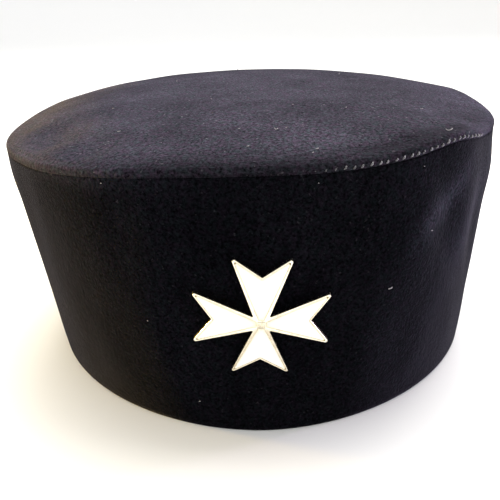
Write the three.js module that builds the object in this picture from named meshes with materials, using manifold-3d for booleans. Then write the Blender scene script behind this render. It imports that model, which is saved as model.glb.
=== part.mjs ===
// A ceremonial pillbox cap in black velvet, with an eight-pointed cross of gilt metal and white enamel.
//
// The side band is one flared oval wall, which rests on its rim. The tip is the domed top panel, and its
// edge is turned down over the top of the band. The cross is screwed on through the front of the band,
// where a round nut holds its post on the inside.
//
// Sizes are in millimetres. +Z is up, the front of the cap faces -Y, and the origin is under the middle of
// the cap, on the plane of the rim. Angles round the cap are turns from +X towards the back, +Y.

import * as THREE from 'three';
import { LoftGeometry } from 'three/addons/geometries/LoftGeometry.js';
import { mergeVertices } from 'three/addons/utils/BufferGeometryUtils.js';
import Module from 'manifold-3d';

const DEG = Math.PI / 180;
const { lerp, smoothstep } = THREE.MathUtils;

// Plan of the outer face at the rim and at the crown: half sizes, how square the front and back halves
// are, where 2 is an ellipse, and how far the crown has moved along X from over the rim
const RIM = { halfWidth: 87.6, halfLength: 104.3, front: 1.88, back: 2.0 };
const CROWN = { halfWidth: 93.7, halfLength: 112.5, front: 2.53, back: 2.11, shift: -2.7 };

const BAND_HEIGHT = 89.8;      // from the rim to the lower side of the tip's turned edge
const BARREL = 0.009;          // how much wider than a straight cone the side is at mid height
const WALL = 2.8;              // velvet, stiff cloth and lining of the side together
const RIM_ROUNDING = 0.7;      // the folded velvet of the rim
const TIP_WALL = 1.6;
const TURNED_HEIGHT = 2.8;     // the tip's turned edge
const TURNED_WALL = 1.1;
const TURNED_PROUD = 0.2;      // how far the turned edge stands out from the side
const SHOULDER = 1.4;          // rounding between the turned edge and the top
const DOME = 9.3;              // rise of the top above its shoulder
const DOME_POWER = 3;
const GAP = 0.3;               // between neighbouring pieces

// The waves that the crown has taken on: each has a number of crests, one of them at its bearing. It
// swells the front of the plan by a share of its size, and it lifts the edge in millimetres
const CROWN_WAVES = [
  { crests: 1, bearing: 2, swell: 0, lift: 1.95 },
  { crests: 2, bearing: -66, swell: 0, lift: 1.5 },
  { crests: 3, bearing: 32, swell: 0, lift: 0.5 },
  { crests: 2, bearing: 0, swell: 0.003, lift: 0 },
  { crests: 3, bearing: 49, swell: 0.017, lift: 0 },
  { crests: 4, bearing: -5, swell: 0.013, lift: 0 },
];

// Where the edge of the crown rises or dips over a short stretch: its middle, its half size and the lift
const EDGE_RISES = [
  { bearing: -50, halfTurn: 11, lift: 2.4 },
  { bearing: -80, halfTurn: 12, lift: -0.8 },
  { bearing: 8, halfTurn: 14, lift: 1.1 },
];
const RISE_POWER = 6;          // how fast a rise fades from the edge towards the middle of the top

// Soft folds and dents of the side: where each is deepest, how far it reaches round the cap in degrees and
// up and down, how far its foot leans round the cap, and its depth, negative where the velvet stands out
const SIDE_FOLDS = [
  { bearing: -31, height: 60, halfTurn: 5.5, halfHeight: 40, lean: 3, depth: 1.1 },
  { bearing: -40, height: 58, halfTurn: 5.5, halfHeight: 38, lean: 5, depth: -0.6 },
  { bearing: -49, height: 68, halfTurn: 5.0, halfHeight: 26, lean: 9, depth: 0.8 },
  { bearing: -90, height: 27, halfTurn: 15, halfHeight: 26, lean: 0, depth: 1.2 },
  { bearing: -90, height: 69, halfTurn: 15, halfHeight: 26, lean: 0, depth: -0.9 },
  { bearing: -147, height: 55, halfTurn: 7.0, halfHeight: 40, lean: -4, depth: 1.0 },
  { bearing: 62, height: 66, halfTurn: 9.0, halfHeight: 36, lean: 4, depth: 1.3 },
  { bearing: -20, height: 76, halfTurn: 12, halfHeight: 11, lean: 0, depth: -1.3 },
  { bearing: -166, height: 77, halfTurn: 12, halfHeight: 11, lean: 0, depth: -1.1 },
];

// Soft dents of the top: the turn and the share of the way out to the edge where each is deepest, its half
// size round and out, and its depth
const TOP_DENTS = [
  { bearing: 58, reach: 0.88, halfTurn: 12, halfReach: 0.10, depth: 1.3 },
  { bearing: 34, reach: 0.93, halfTurn: 9, halfReach: 0.05, depth: 0.6 },
  { bearing: -68, reach: 0.92, halfTurn: 5, halfReach: 0.05, depth: 0.7 },
  { bearing: -52, reach: 0.91, halfTurn: 6, halfReach: 0.06, depth: 1.0 },
  { bearing: -24, reach: 0.84, halfTurn: 9, halfReach: 0.10, depth: 0.6 },
  { bearing: -150, reach: 0.84, halfTurn: 7, halfReach: 0.09, depth: 0.8 },
  { bearing: -122, reach: 0.92, halfTurn: 5, halfReach: 0.05, depth: 0.5 },
];

// The cross: from its centre to the ends of its eight points and to the notches between them
const CROSS_REACH = 20.85;
const CROSS_NOTCH = 0.73 * CROSS_REACH;
const CROSS_NECK = 2.4;        // half width of the arms where they meet
const POINT_ROUNDING = 0.6;
const CROSS_THICKNESS = 1.5;
const CROSS_BEND = 9.6 * DEG;  // the arms bend back towards the cap
const CROSS_LEAN = 0.9 * DEG;  // its top leans out further than the velvet behind it
const CROSS_TURN = -2.3 * DEG;
const CROSS_HEIGHT = 45.5;     // of its seat on the velvet, above the middle of the front of the rim
const CROSS_CLEARANCE = 0.7;   // of its lowest points over the velvet's slope
const BORDER = 0.65;           // gilt border of each enamelled recess
const RECESS = 0.7;
const ENAMEL_GAP = 0.25;
const ENAMEL_FOOT = { halfWidth: 0.75, out: 1.5 };
const BOSS = { halfWidth: 1.15, height: 0.35 };

const POST_RADIUS = 1.1;
const COLLAR_RADIUS = 3.0;
const NUT = { radius: 5, thickness: 2.4, clearance: 0.9 };
const POST_BEYOND_NUT = 1.2;

const COLUMNS = 96;            // points round the cap
const OUTER_ROWS = 12;
const INNER_ROWS = 8;

// The middle of the cap with its cross, from the middle of the rim
const MIDDLE = { x: -3.5, y: -2.0 };

const wasm = await Module();
wasm.setup();

// The plan of the cap

function planPoint(plan, turn) {
  const across = Math.cos(turn);
  const along = Math.sin(turn);
  const power = 2 / (along < 0 ? plan.front : plan.back);
  return new THREE.Vector2(
    plan.halfWidth * Math.sign(across) * Math.abs(across) ** power,
    plan.halfLength * Math.sign(along) * Math.abs(along) ** power,
  );
}

// The sum of the waves at a turn, which die away towards the middle of the top
function crownWave(turn, column, reach = 1) {
  const height = ({ crests, bearing, [column]: size }) =>
    size * reach ** crests * Math.cos(crests * (turn - bearing * DEG));
  return CROWN_WAVES.reduce((sum, wave) => sum + height(wave), 0);
}

function edgeLift(turn, reach = 1) {
  const height = (rise) => rise.lift * bump(turnBetween(rise.bearing * DEG, turn) / rise.halfTurn);
  const rises = EDGE_RISES.reduce((sum, rise) => sum + height(rise), 0);
  return crownWave(turn, 'lift', reach) + rises * reach ** RISE_POWER;
}

// The outer face's plan at a share of the band's height
function outline(turn, share) {
  const frontness = (1 - Math.sin(turn)) / 2;
  const rim = planPoint(RIM, turn);
  const crown = planPoint(CROWN, turn).multiplyScalar(1 + frontness * crownWave(turn, 'swell'));
  crown.x += CROWN.shift;
  return rim.lerp(crown, share).multiplyScalar(1 + 4 * BARREL * share * (1 - share));
}

// The horizontal direction into the cap, square to its plan
function inward(turn, share) {
  const step = 0.5 * DEG;
  const tangent = outline(turn + step, share).sub(outline(turn - step, share)).normalize();
  return new THREE.Vector2(-tangent.y, tangent.x);
}

function bump(distance) {
  return Math.exp(-distance * distance);
}

// The shortest way from one turn to another, in degrees
function turnBetween(from, to) {
  return THREE.MathUtils.euclideanModulo((to - from) / DEG + 180, 360) - 180;
}

function foldDepth(turn, height) {
  return SIDE_FOLDS.reduce((sum, fold) => {
    const rise = (height - fold.height) / fold.halfHeight;
    const axis = (fold.bearing - fold.lean * rise) * DEG;
    return sum + fold.depth * bump(turnBetween(axis, turn) / fold.halfTurn) * bump(rise);
  }, 0);
}

function dentDepth(turn, reach) {
  return TOP_DENTS.reduce((sum, dent) => {
    const round = turnBetween(dent.bearing * DEG, turn) / dent.halfTurn;
    const out = (reach - dent.reach) / dent.halfReach;
    return sum + dent.depth * bump(round) * bump(out);
  }, 0);
}

// A point of the side: a share of the band's height, an inset from the outer face and a height above that.
// Folds fade out towards the rim, which lies flat
function sidePoint(turn, { share, inset = 0, above = 0 }) {
  const height = share * (BAND_HEIGHT + edgeLift(turn));
  const fold = foldDepth(turn, height) * smoothstep(height, 0, 20);
  const point = outline(turn, share).addScaledVector(inward(turn, share), inset + fold);
  return new THREE.Vector3(point.x, point.y, height + above);
}

// A point of the tip: a share of the way out to the edge, an inset from the band's face and a height above
// the band
function tipPoint(turn, { reach, inset = 0, above = 0 }) {
  const edge = sidePoint(turn, { share: 1, inset });
  const lift = edgeLift(turn, reach);
  const dome = DOME * (1 - reach ** DOME_POWER);
  const height = BAND_HEIGHT + lift + above + dome - dentDepth(turn, reach) * smoothstep(1 - reach, 0, 0.04);
  return new THREE.Vector3(lerp(CROWN.shift, edge.x, reach), edge.y * reach, height);
}

// The two soft pieces

function ring(pointAt, row) {
  return Array.from({ length: COLUMNS }, (_, column) => pointAt((column / COLUMNS) * 2 * Math.PI, row));
}

function shares(count, first, last) {
  return Array.from({ length: count + 1 }, (_, index) => lerp(first, last, index / count));
}

// The wall's section, from the rim up the outer face, over the tongue under the tip and down the inside
function sideBand() {
  const tongue = TURNED_WALL - TURNED_PROUD + GAP;
  const tongueTop = TURNED_HEIGHT - TIP_WALL - GAP;
  const rows = [
    { share: 0, inset: RIM_ROUNDING },
    { share: 0, inset: 0.3 * RIM_ROUNDING, above: 0.3 * RIM_ROUNDING },
    { share: 0, above: RIM_ROUNDING },
    ...shares(OUTER_ROWS, 0.04, 1).map((share) => ({ share, above: share === 1 ? -GAP : 0 })),
    { share: 1, inset: tongue, above: -GAP },
    { share: 1, inset: tongue, above: tongueTop },
    { share: 1, inset: WALL, above: tongueTop },
    ...shares(INNER_ROWS, 0.96, 0.04).map((share) => ({ share, inset: WALL })),
    { share: 0, inset: WALL, above: RIM_ROUNDING },
    { share: 0, inset: WALL - 0.3 * RIM_ROUNDING, above: 0.3 * RIM_ROUNDING },
    { share: 0, inset: WALL - RIM_ROUNDING },
  ];
  const sections = rows.map((row) => ring(sidePoint, row));
  return new LoftGeometry([...sections, sections[0]]);
}

// The panel's section, from the middle of its underside out round the turned edge to the middle of the top
function tip() {
  const outside = -TURNED_PROUD;
  const inside = TURNED_WALL - TURNED_PROUD;
  const under = TURNED_HEIGHT - TIP_WALL;
  const shoulder = [0, 25, 50, 75].map((angle) => ({
    reach: 1,
    inset: outside + SHOULDER * (1 - Math.cos(angle * DEG)),
    above: TURNED_HEIGHT - SHOULDER * (1 - Math.sin(angle * DEG)),
  }));
  const rows = [
    ...[0, 0.2, 0.4, 0.65, 0.85].map((reach) => ({ reach, inset: inside, above: under })),
    { reach: 1, inset: inside, above: under },
    { reach: 1, inset: inside },
    { reach: 1, inset: outside },
    ...shoulder,
    ...[0.96, 0.92, 0.87, 0.8, 0.7, 0.55, 0.35, 0.15, 0].map((reach) => ({ reach, above: TURNED_HEIGHT })),
  ];
  return new LoftGeometry(rows.map((row) => ring(tipPoint, row)));
}

// Booleans between closed geometries

function toManifold(geometry) {
  const bare = new THREE.BufferGeometry();
  bare.setAttribute('position', geometry.attributes.position);
  bare.setIndex(geometry.index);
  const merged = mergeVertices(bare, 1e-4);
  const vertProperties = merged.attributes.position.array;
  const triVerts = Uint32Array.from(merged.index.array);
  return new wasm.Manifold(new wasm.Mesh({ numProp: 3, vertProperties, triVerts }));
}

function toGeometry(manifold) {
  const { vertProperties, triVerts } = manifold.getMesh();
  const geometry = new THREE.BufferGeometry();
  geometry.setAttribute('position', new THREE.BufferAttribute(vertProperties, 3));
  geometry.setIndex(new THREE.BufferAttribute(triVerts, 1));
  geometry.computeVertexNormals();
  return geometry;
}

// The cross, drawn flat with +Y up and +Z out of the cap, its back at z = 0 in the middle

// One arm's outline, with its two points rounded
function armShape() {
  const centre = new THREE.Vector2(
    (CROSS_REACH - POINT_ROUNDING) * Math.tan(22.5 * DEG),
    CROSS_REACH - POINT_ROUNDING,
  );
  const side = Math.atan2(centre.y - CROSS_NECK, centre.x - CROSS_NECK) - Math.PI / 2;
  const notch = Math.atan2(CROSS_NOTCH - centre.y, -centre.x) + Math.PI * 1.5;
  const shape = new THREE.Shape();
  shape.moveTo(0, 0);
  shape.lineTo(CROSS_NECK, CROSS_NECK);
  shape.absarc(centre.x, centre.y, POINT_ROUNDING, side, notch, false);
  shape.lineTo(0, CROSS_NOTCH);
  shape.absarc(-centre.x, centre.y, POINT_ROUNDING, Math.PI - notch, Math.PI - side, false);
  shape.lineTo(-CROSS_NECK, CROSS_NECK);
  return shape;
}

// The enamelled part of an arm, set in from the arm's edges by a border
function enamelShape(border) {
  const slope = Math.tan(22.5 * DEG);
  const point = new THREE.Vector2(
    CROSS_REACH * slope - border * 1.45,
    CROSS_REACH - border * 2.1,
  );
  const shape = new THREE.Shape();
  shape.moveTo(ENAMEL_FOOT.halfWidth - border + BORDER, ENAMEL_FOOT.out + border - BORDER);
  shape.lineTo(point.x, point.y);
  shape.lineTo(0, CROSS_NOTCH - border);
  shape.lineTo(-point.x, point.y);
  shape.lineTo(-(ENAMEL_FOOT.halfWidth - border + BORDER), ENAMEL_FOOT.out + border - BORDER);
  return shape;
}

// A plate of that outline for the arm that points up, bent back, then turned to its place by exact quarters
function armPlate(shape, bottom, top, quarter) {
  const plate = new THREE.ExtrudeGeometry(shape, { depth: top - bottom, bevelEnabled: false, curveSegments: 5 });
  const position = plate.attributes.position;
  for (let i = 0; i < position.count; i += 1) {
    let [x, y] = [position.getX(i), position.getY(i)];
    const z = position.getZ(i) + bottom - y * Math.tan(CROSS_BEND);
    for (let turned = 0; turned < quarter; turned += 1) [x, y] = [-y, x];
    position.setXYZ(i, x, y, z);
  }
  return plate;
}

function disc(radius, bottom, top, segments) {
  const cylinder = new THREE.CylinderGeometry(radius, radius, top - bottom, segments);
  return cylinder.rotateX(Math.PI / 2).translate(0, 0, (bottom + top) / 2);
}

// The gilt body: four arms, a square boss in the middle, and the collar and post soldered to the back
function crossBody(standOff) {
  const postEnd = -(standOff + WALL + NUT.clearance + NUT.thickness + POST_BEYOND_NUT);
  const front = CROSS_THICKNESS;
  const added = [
    disc(BOSS.halfWidth * Math.SQRT2, front / 2, front + BOSS.height, 4).rotateZ(45 * DEG),
    disc(COLLAR_RADIUS, GAP + COLLAR_RADIUS * Math.sin(CROSS_LEAN) - standOff, front / 2, 20),
    disc(POST_RADIUS, postEnd, front / 2, 16),
  ];
  let body = toManifold(armPlate(armShape(), 0, front, 0));
  for (const quarter of [1, 2, 3]) body = body.add(toManifold(armPlate(armShape(), 0, front, quarter)));
  for (const piece of added) body = body.add(toManifold(piece));
  for (const quarter of [0, 1, 2, 3]) {
    body = body.subtract(toManifold(armPlate(enamelShape(BORDER), front - RECESS, front + 1, quarter)));
  }
  return toGeometry(body);
}

function enamelArm(quarter) {
  const shape = enamelShape(BORDER + ENAMEL_GAP);
  return armPlate(shape, CROSS_THICKNESS - RECESS + ENAMEL_GAP, CROSS_THICKNESS, quarter);
}

// A plain round nut with rounded edges
function nut(top) {
  const bore = POST_RADIUS + GAP;
  const round = 0.5;
  const profile = [
    [bore, 0], [NUT.radius - round, 0], [NUT.radius, round], [NUT.radius, NUT.thickness - round],
    [NUT.radius - round, NUT.thickness], [bore, NUT.thickness], [bore, 0],
  ].map(([radius, height]) => new THREE.Vector2(radius, height));
  return new THREE.LatheGeometry(profile, 24).rotateX(Math.PI / 2).translate(0, 0, top - NUT.thickness);
}

// Assembly

const MATERIALS = {
  sideVelvet: new THREE.MeshStandardMaterial({ color: 0x14141a, roughness: 0.95, metalness: 0 }),
  topVelvet: new THREE.MeshStandardMaterial({ color: 0x2a272e, roughness: 0.95, metalness: 0 }),
  gilt: new THREE.MeshStandardMaterial({ color: 0xd9c48c, roughness: 0.3, metalness: 1 }),
  enamel: new THREE.MeshStandardMaterial({ color: 0xf7f4ea, roughness: 0.15, metalness: 0 }),
  nutMetal: new THREE.MeshStandardMaterial({ color: 0xb9a26a, roughness: 0.4, metalness: 1 }),
};

function named(name, geometry, material) {
  const mesh = new THREE.Mesh(geometry, MATERIALS[material]);
  mesh.name = name;
  return mesh;
}

// The frame of the cross on the front: its origin stands off the velvet, +Z points out of the cap and +Y
// up, leaning out a little further than the flared side
function crossFrame(standOff) {
  const share = CROSS_HEIGHT / BAND_HEIGHT;
  const front = -Math.PI / 2;
  const seat = sidePoint(front, { share }).setX(0);
  const higher = sidePoint(front, { share: share + 0.02 }).setX(0);
  const right = new THREE.Vector3(1, 0, 0);
  const up = higher.sub(seat).normalize().applyAxisAngle(right, CROSS_LEAN);
  const out = right.clone().cross(up);
  const frame = new THREE.Matrix4().makeBasis(right, up, out);
  frame.setPosition(seat.addScaledVector(out, standOff));
  return frame.multiply(new THREE.Matrix4().makeRotationZ(CROSS_TURN));
}

// The arms bend back and the cross leans out, so its middle stands this far off the velvet
const standOff = CROSS_REACH * (Math.tan(CROSS_BEND) + Math.sin(CROSS_LEAN)) + CROSS_CLEARANCE;
const frame = crossFrame(standOff);
const postHole = disc(POST_RADIUS + GAP, -standOff - 3 * WALL, 0, 16).applyMatrix4(frame);
const piercedBand = toGeometry(toManifold(sideBand()).subtract(toManifold(postHole)));

const cross = new THREE.Group();
cross.applyMatrix4(frame);
cross.add(named('badge_cross', crossBody(standOff), 'gilt'));
['top', 'left', 'bottom', 'right'].forEach((side, quarter) => {
  cross.add(named(`enamel_arm_${side}`, enamelArm(quarter), 'enamel'));
});
cross.add(named('badge_nut', nut(-standOff - WALL - NUT.clearance), 'nutMetal'));

const cap = new THREE.Group();
cap.add(named('side_band', piercedBand, 'sideVelvet'));
cap.add(named('tip', tip(), 'topVelvet'));
cap.add(cross);

cap.position.set(-MIDDLE.x, -MIDDLE.y, 0);

export default cap;
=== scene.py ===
"""The looks of a ceremonial pillbox cap in black velvet with an enamelled cross.

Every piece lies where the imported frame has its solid. Shapes are worked out in millimetres from the middle
of the rim, +Z up and the front towards -Y, and are turned into metres in the frame's place when a mesh is
made. Angles round the cap are turns from +X towards the back, in degrees in the tables.
"""
import math
import random

import bmesh
import bpy
import numpy as np
from bpy.props import FloatProperty, FloatVectorProperty, IntProperty, PointerProperty
from mathutils import Matrix, Vector
from mathutils.geometry import delaunay_2d_cdt


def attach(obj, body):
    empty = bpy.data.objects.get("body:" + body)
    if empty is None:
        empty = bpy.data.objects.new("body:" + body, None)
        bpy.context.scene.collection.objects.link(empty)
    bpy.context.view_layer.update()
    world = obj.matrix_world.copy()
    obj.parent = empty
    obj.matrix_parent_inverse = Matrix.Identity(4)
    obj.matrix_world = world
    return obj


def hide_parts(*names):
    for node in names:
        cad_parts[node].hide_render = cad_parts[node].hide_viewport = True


bl_info = {
    "name": "Velvet Pillbox Cap",
    "version": (1, 0, 0),
    "blender": (4, 5, 0),
    "location": "View3D > Sidebar > Cap",
    "description": "Builds a velvet pillbox cap with an enamelled cross round its packed solids",
    "category": "Object",
}

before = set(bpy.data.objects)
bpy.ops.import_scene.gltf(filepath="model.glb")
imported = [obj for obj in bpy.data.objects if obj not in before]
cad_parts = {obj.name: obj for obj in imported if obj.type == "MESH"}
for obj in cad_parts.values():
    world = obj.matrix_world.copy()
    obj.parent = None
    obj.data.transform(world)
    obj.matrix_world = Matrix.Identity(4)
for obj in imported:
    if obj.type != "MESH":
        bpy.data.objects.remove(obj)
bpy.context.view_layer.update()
BODY = "root"
MM = 0.001

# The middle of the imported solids, from the middle of the rim
MIDDLE = Vector((-3.5, -2.0, 0.0))

# The plan of the side at the rim and at the crown: half sizes and how square the front and back are
RIM = {"half_width": 87.6, "half_length": 104.3, "front": 1.88, "back": 2.0}
CROWN = {"half_width": 93.7, "half_length": 112.5, "front": 2.53, "back": 2.11, "shift": -2.7}
BAND_HEIGHT = 89.8
BARREL = 0.009
WALL = 2.8
RIM_ROUNDING = 0.9
RIM_ANGLES = (90, 60, 35, 12)
VELVET_TURNED_IN = 0.07
VELVET_THICKNESS = 0.25
DOME_POWER = 3
TIP_WALL = 1.6
TURNED_HEIGHT = 2.8
TURNED_WALL = 1.1
TURNED_PROUD = 0.2
SHOULDER = 1.4
GAP = 0.3
STITCH_PULL = 0.16

# The waves of the crown: crests, the bearing of one, the swell of the plan at the front and the lift
WAVE_COLUMNS = ("crests", "bearing", "swell", "lift")
CROWN_WAVES = (
    (1, 2, 0, 1.95),
    (2, -66, 0, 1.5),
    (3, 32, 0, 0.5),
    (2, 0, 0.003, 0),
    (3, 49, 0.017, 0),
    (4, -5, 0.013, 0),
)
EDGE_RISES = ((-50, 11, 2.4), (-80, 12, -0.8), (8, 14, 1.1))  # bearing, half turn, lift
RISE_POWER = 6

# Folds of the side, as in the solid and then the finer ones: bearing, height, half turn, half height,
# how far the foot leans round the cap and the depth, negative where the velvet stands out
SIDE_FOLDS = (
    (-31, 60, 5.5, 40, 3, 1.1),
    (-40, 58, 5.5, 38, 5, -0.6),
    (-49, 68, 5.0, 26, 9, 0.8),
    (-90, 27, 15, 26, 0, 1.2),
    (-90, 69, 15, 26, 0, -0.9),
    (-147, 55, 7.0, 40, -4, 1.0),
    (62, 66, 9.0, 36, 4, 1.3),
    (-20, 76, 12, 11, 0, -1.3),
    (-166, 77, 12, 11, 0, -1.1),
)
FINE_FOLDS = (
    (-54, 66, 3.2, 18, 12, 0.35),
    (-59, 58, 3.0, 16, 12, -0.25),
    (-26, 44, 3.0, 30, 3, -0.35),
    (-36, 30, 3.4, 20, 4, 0.35),
    (-60, 24, 3.0, 12, 9, 0.35),
    (-66, 15, 2.6, 9, 10, -0.25),
    (-72, 10, 2.6, 8, 10, 0.25),
    (-112, 70, 4.0, 16, -3, 0.3),
    (-128, 40, 4.5, 30, -5, 0.4),
    (-158, 64, 3.0, 26, -2, 0.5),
    (172, 50, 4.5, 34, 3, 0.5),
    (150, 62, 3.6, 26, 2, -0.4),
    (120, 44, 4.2, 30, -3, 0.5),
    (74, 40, 3.2, 30, 3, 0.4),
    (38, 58, 3.6, 28, 3, 0.5),
    (14, 44, 3.8, 34, -3, 0.45),
)
BACK_SEAM = {"bearing": 90, "half_width": 0.55, "depth": 0.55, "ridge": 0.3, "pucker": 0.25, "pitch": 9.0}

# Dents of the top, as in the solid and then the finer puckers: bearing, reach from the middle, half turn,
# half reach and depth
TOP_DENTS = (
    (58, 0.88, 12, 0.10, 1.3),
    (34, 0.93, 9, 0.05, 0.6),
    (-68, 0.92, 5, 0.05, 0.7),
    (-52, 0.91, 6, 0.06, 1.0),
    (-24, 0.84, 9, 0.10, 0.6),
    (-150, 0.84, 7, 0.09, 0.8),
    (-122, 0.92, 5, 0.05, 0.5),
)
FINE_DENTS = (
    (-73, 0.95, 2.4, 0.03, 0.45),
    (-63, 0.94, 2.2, 0.03, 0.5),
    (-57, 0.95, 2.0, 0.03, 0.4),
    (-47, 0.95, 2.2, 0.035, 0.5),
    (-42, 0.90, 2.4, 0.04, 0.45),
    (-34, 0.94, 2.6, 0.03, 0.4),
    (-18, 0.92, 3.5, 0.04, 0.4),
    (2, 0.93, 3.5, 0.04, 0.35),
    (20, 0.92, 3.0, 0.04, 0.4),
    (96, 0.93, 4.0, 0.04, 0.35),
    (140, 0.94, 3.0, 0.04, 0.4),
    (176, 0.92, 3.0, 0.05, 0.45),
    (-167, 0.92, 4.5, 0.06, 0.4),
    (-140, 0.90, 4.0, 0.06, 0.3),
    (-108, 0.95, 4.0, 0.03, 0.3),
    (-92, 0.94, 4.0, 0.03, 0.3),
)

# Painted shade of the top, darker pile in its puckers: bearing, reach, half turn, half reach, amount
PAINTED_PUCKER_SHADE = (
    (-70, 0.94, 6.5, 0.035, 0.33),
    (-58, 0.93, 6.5, 0.045, 0.38),
    (-46, 0.95, 6.0, 0.035, 0.4),
    (-146, 0.81, 9.0, 0.05, 0.25),
    (-27, 0.88, 16.0, 0.12, 0.3),
)

# Painted highlights of the side, lighter pile on its folds at the front right and under the edge at the
# left: bearing, height, half turn, half height, lean, amount
PAINTED_SIDE_HIGHLIGHTS = (
    (-50, 75, 4.5, 11, -7, 0.7),
    (-38, 62, 6.5, 22, -7, 0.36),
    (-122, 90, 16.0, 5, 0, 0.5),
)

# The cross: sizes as in its solid
NOTCH_SHARE = 0.73
NECK = 2.4
POINT_ROUNDING = 0.6
NOTCH_ROUNDING = 0.15
NECK_ROUNDING = 0.3
ROUNDING_STEPS = 5
EDGE_SOFTENING = 0.22
BACK_SOFTENING = 0.15
BORDER = 0.45
RECESS = 0.7
RECESS_LIP = 0.12
RECESS_CORNERS = (0.2, 0.3, 0.1, 0.3, 0.2)
ENAMEL_FOOT = {"half_width": 0.85, "out": 1.5}
ENAMEL_CORNERS = (0.2, 0.5, 0.1, 0.5, 0.2)
ENAMEL_SPACING = 0.55
CROSS_HEIGHT = 45.5
CROSS_CLEARANCE = 0.7
BOSS = {"half_width": 1.15, "height": 0.35}
POST_RADIUS = 1.1
POST_BEYOND_NUT = 1.2
COLLAR_RADIUS = 3.0
NUT = {
    "radius": 5.0, "thickness": 2.4, "clearance": 0.9, "knurls": 36, "knurl": 0.16, "rounding": 0.5,
}

# The camera of the photograph, round a pivot above the middle of the rim
CAMERA = {"distance": 339.1, "elevation": 17.32, "roll": -1.62, "pivot_height": 42.4, "lens": 54.54}
CAMERA_TARGET = (-4.33, 0.0, 27.56)

# The bearings between which the pile is worn off the stitches and they are painted light, and the turned
# edge is painted with less shade
WORN_AND_LIT_STRETCH = {"from": -80, "to": -38, "fade": 6}

# The stitches, where two values are the least and the most: their shift along the edge and their slant
# in degrees, how far they are bared and painted light where the pile is worn off, their foot and height
# above the band, their thickness as a share, how deep they lie in the pile and how far they rise out of it
# where it is worn, and how far their ends dip
STITCH = {
    "shift": (-0.2, 0.2), "slant": (0.2, 0.45), "bareness": (0.35, 1.0), "foot": (0.25, 0.5),
    "height": (0.75, 1.1), "thickness": (0.8, 1.1), "sunk": 0.85, "rise": 1.05, "dip": 0.3,
    "steps": 6, "sides": 7, "taper": 0.5,
}

# Lint on the top: bearing, reach, size and how far the fibre curls; and on the side with the height. Its
# thickness grows a little with its size, and each fibre is turned and tilted by chance, in radians
LINT = {
    "radius": 0.13, "growth": 0.03, "turn": (-0.7, 0.7), "tilt": (0.3, 1.2),
    "steps": 12, "sides": 6, "taper": 0.6,
}
TOP_LINT = (
    (-123, 0.76, 0.55, 1.0), (-155, 0.60, 0.35, 1.0), (-91, 0.74, 0.4, 1.0), (-90, 0.88, 0.4, 1.0),
    (-86, 0.76, 0.9, 3.6), (-84, 0.75, 0.3, 1.0), (-82, 0.94, 0.35, 1.0), (-81, 0.92, 0.5, 1.5),
    (-37, 0.78, 0.45, 1.0), (-51, 0.97, 1.4, 2.2), (-76, 0.50, 0.3, 1.0), (150, 0.4, 0.4, 2.0),
    (30, 0.5, 0.4, 1.0), (95, 0.7, 0.45, 2.5), (-110, 0.35, 0.3, 1.0), (-60, 0.62, 0.3, 1.0),
)
SIDE_LINT = (
    (-113, 88, 0.2, 1.0), (-65, 48, 1.3, 2.4), (-55, 63, 0.3, 1.0), (-82, 87, 0.16, 1.0),
    (-61, 86, 0.18, 1.0), (-104, 11, 0.3, 1.0), (-111, 41, 0.25, 1.0), (60, 50, 0.5, 2.0),
    (130, 30, 0.5, 1.0), (170, 66, 0.4, 1.0), (10, 34, 0.45, 2.6), (95, 72, 0.4, 1.0),
)

# How the velvet of the side and of the top lies: the softness of its sheen, the scale of its patches, its
# streaks and dust, the value of the mesh that carries its painted light, highlights on the side and shade
# on the top, and the gain of its colour there
VELVETS = {
    "side": {"softness": 0.27, "patches": 42.0, "streaks": 0.8, "dust": 0.08,
             "painted_light_and_shade": "brushed", "gain": 6.0},
    "top": {"softness": 0.34, "patches": 34.0, "streaks": 0.2, "dust": 1.0,
            "painted_light_and_shade": "turned", "gain": 0.16},
}

# The grains of the pile, as scales of noise
PILE = {"streaks": 420.0, "clumps": 430.0, "hues": 640.0, "specks": 900.0, "tufts": 1100.0}

# The grains of the other surfaces, as scales of noise
GRAINS = {
    "tarnish": 420.0, "scratches": 900.0, "weave": 1100.0, "cloth": 260.0, "glaze": 330.0,
    "twist": 1500.0, "fluff": 2400.0, "floor": 3.0,
}

BLACK = (0.0, 0.0, 0.0, 1.0)
WHITE = (1.0, 1.0, 1.0, 1.0)
REDDISH = (1.16, 0.93, 1.06, 1.0)
GREENISH = (0.86, 1.05, 0.96, 1.0)
DUST_COLOUR = (0.13, 0.12, 0.14, 1.0)
# Painted shade of the thread where it lies in the pile
THREAD_SHADE_IN_PILE = (0.012, 0.011, 0.014, 1.0)
GILT_TARNISH = (0.42, 0.28, 0.13)
# Colours of the boss: tarnish, and painted shade at the middle of the cross
BOSS_COLOUR = (0.8, 0.75, 0.6)
BOSS_TARNISH_AND_SHADE = (0.45, 0.38, 0.27)
NUT_TARNISH = (0.24, 0.17, 0.08)


# Settings


def length_setting(name, description, millimetres):
    return FloatProperty(name=name, description=description, default=millimetres * MM, unit="LENGTH")


def angle_setting(name, description, degrees):
    return FloatProperty(name=name, description=description, default=math.radians(degrees), unit="ROTATION")


def power_setting(name, description, watts):
    return FloatProperty(name=name, description=description, default=watts, unit="POWER")


def colour_setting(name, description, default):
    return FloatVectorProperty(name=name, description=description, default=default, subtype="COLOR")


def share_setting(name, description, default):
    return FloatProperty(name=name, description=description, default=default)


def count_setting(name, description, default, least):
    return IntProperty(name=name, description=description, default=default, min=least)


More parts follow.
